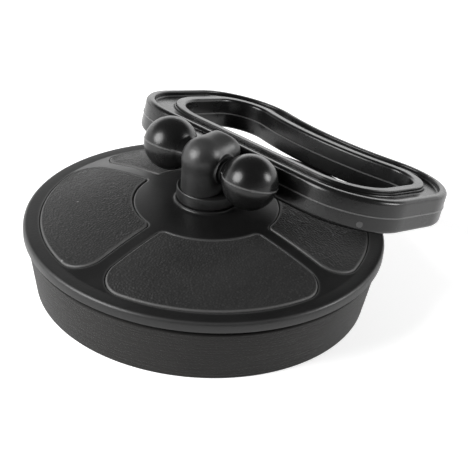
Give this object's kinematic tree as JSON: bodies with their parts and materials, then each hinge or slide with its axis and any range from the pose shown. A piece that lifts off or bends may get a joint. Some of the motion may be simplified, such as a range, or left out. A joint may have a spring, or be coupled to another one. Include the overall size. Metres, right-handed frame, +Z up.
{
  "type": "sink plunger",
  "caption": "Round low sink plunger: soft bell ring under a domed pressure plate with grained grip panels, and a folding, turning loop handle on ball knuckles.",
  "frame": {"origin": "on the floor, at the centre of the bell ring's round mouth", "axes": "+Z up along the stem, X along the cross pin, +Y from the stem towards the folded loop handle"},
  "size_m": [0.15, 0.1682, 0.0681],
  "materials": {
    "ring_sponge": "matte closed-cell sponge rubber",
    "plate_plastic": "satin moulded black",
    "panel_grain": "leather-grained matte black",
    "stem_plastic": "satin black",
    "handle_plastic": "semi-gloss black",
    "steel": "turned stainless",
    "nylon": "natural dark nylon",
    "seal_rubber": "matte nitrile"
  },
  "bodies": {
    "bell": {"sealing_ring": "ring_sponge"},
    "plate": {"pressure_plate": "plate_plastic", "grip_panel_right": "panel_grain", "grip_panel_rear": "panel_grain", "grip_panel_left": "panel_grain", "grip_panel_front": "panel_grain"},
    "stem": {"stem": "stem_plastic", "swivel_washer": "nylon", "stem_seal": "seal_rubber", "retaining_washer": "steel", "retaining_screw": "steel", "cross_pin": "steel", "pivot_washers": "nylon"},
    "loop": {"loop_handle": "handle_plastic", "pivot_bushes": "nylon"}
  },
  "joints": [
    {"name": "plunge_stroke", "type": "slide", "parent": "bell", "child": "plate", "axis": [0, 0, -1], "range_m": [0, 0.008], "stiffness_N_per_m": 6000, "springref_m": -0.0008, "deforming": ["sealing_ring"]},
    {"name": "handle_swivel", "type": "hinge", "parent": "plate", "child": "stem", "pos_m": [0, 0, 0.0402], "axis": [0, 0, 1], "continuous": true},
    {"name": "handle_tilt", "type": "hinge", "parent": "stem", "child": "loop", "pos_m": [0, 0, 0.0564], "axis": [1, 0, 0], "range_deg": [0, 104]}
  ]
}
